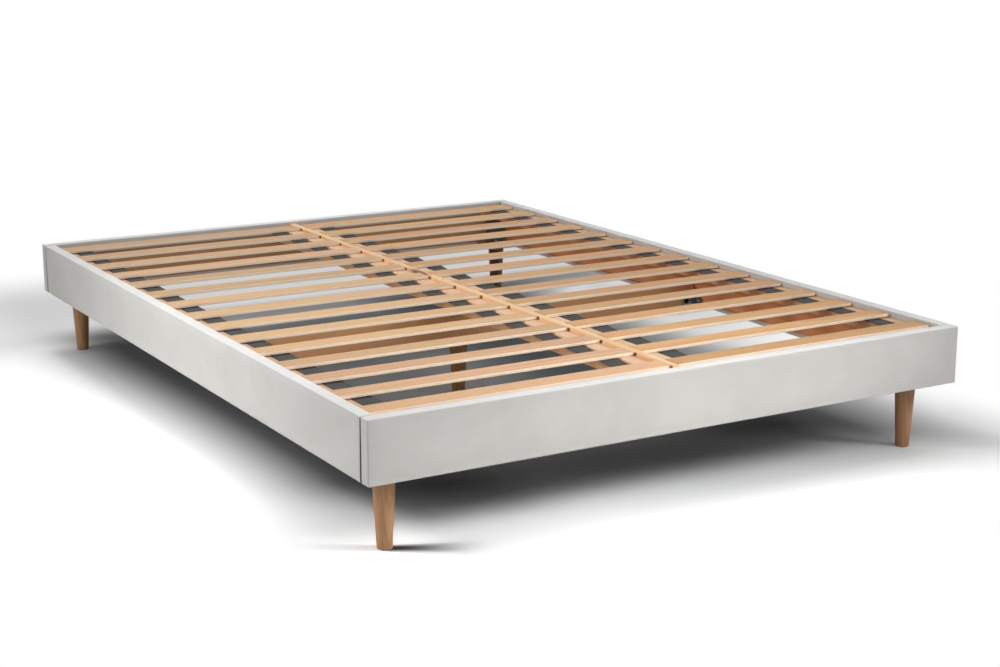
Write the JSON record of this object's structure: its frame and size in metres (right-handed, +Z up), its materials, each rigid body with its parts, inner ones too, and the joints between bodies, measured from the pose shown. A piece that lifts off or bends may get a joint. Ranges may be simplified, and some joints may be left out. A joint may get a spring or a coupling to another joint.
{
  "type": "upholstered slatted bed base",
  "caption": "Low fabric-covered bed frame on turned wooden legs, with two lift-out mats of flat wooden slats either side of a centre board.",
  "frame": {"origin": "on the floor, under the middle of the bed", "axes": "+X to the right when looking from the foot, +Y towards the head, +Z up"},
  "size_m": [1.4, 1.9, 0.274],
  "materials": {
    "cover_fabric": "fine plain-woven upholstery fabric, warm light grey",
    "slat_pine": "bare planed pine, pale",
    "spine_pine": "bare planed pine, pale",
    "ledge_pine": "bare planed pine, pinkish",
    "board_pine": "sawn pine, red-brown, with saw marks and knots",
    "beam_pine": "planed pine, tan",
    "leg_beech": "turned beech, oiled",
    "webbing": "dark grey woven webbing tape",
    "bracket_steel": "dark grey-green coated sheet steel"
  },
  "bodies": {
    "frame": {"head_rail_core": "board_pine", "foot_rail_core": "board_pine", "left_rail_core": "board_pine", "right_rail_core": "board_pine", "head_rail_cover": "cover_fabric", "foot_rail_cover": "cover_fabric", "left_rail_cover": "cover_fabric", "right_rail_cover": "cover_fabric", "left_ledge": "ledge_pine", "right_ledge": "ledge_pine", "centre_board": "spine_pine", "centre_batten_left": "spine_pine", "centre_batten_right": "spine_pine", "cross_beam": "beam_pine", "leg_foot_left": "leg_beech", "leg_foot_right": "leg_beech", "leg_head_left": "leg_beech", "leg_head_right": "leg_beech", "leg_centre": "leg_beech", "corner_bracket_foot_left": "bracket_steel", "corner_bracket_foot_right": "bracket_steel", "corner_bracket_head_left": "bracket_steel", "corner_bracket_head_right": "bracket_steel", "beam_angle_left": "bracket_steel", "beam_angle_right": "bracket_steel"},
    "slat_mat_left": {"slat_left_01": "slat_pine", "slat_left_02": "slat_pine", "slat_left_03": "slat_pine", "slat_left_04": "slat_pine", "slat_left_05": "slat_pine", "slat_left_06": "slat_pine", "slat_left_07": "slat_pine", "slat_left_08": "slat_pine", "slat_left_09": "slat_pine", "slat_left_10": "slat_pine", "slat_left_11": "slat_pine", "slat_left_12": "slat_pine", "slat_left_13": "slat_pine", "slat_left_14": "slat_pine", "slat_left_15": "slat_pine", "tape_left_outer": "webbing", "tape_left_inner": "webbing"},
    "slat_mat_right": {"slat_right_01": "slat_pine", "slat_right_02": "slat_pine", "slat_right_03": "slat_pine", "slat_right_04": "slat_pine", "slat_right_05": "slat_pine", "slat_right_06": "slat_pine", "slat_right_07": "slat_pine", "slat_right_08": "slat_pine", "slat_right_09": "slat_pine", "slat_right_10": "slat_pine", "slat_right_11": "slat_pine", "slat_right_12": "slat_pine", "slat_right_13": "slat_pine", "slat_right_14": "slat_pine", "slat_right_15": "slat_pine", "tape_right_outer": "webbing", "tape_right_inner": "webbing"}
  },
  "joints": [
    {"name": "lift_out_left", "type": "slide", "parent": "frame", "child": "slat_mat_left", "axis": [0, 0, 1], "range_m": [0, 0.15]},
    {"name": "lift_out_right", "type": "slide", "parent": "frame", "child": "slat_mat_right", "axis": [0, 0, 1], "range_m": [0, 0.15]}
  ]
}
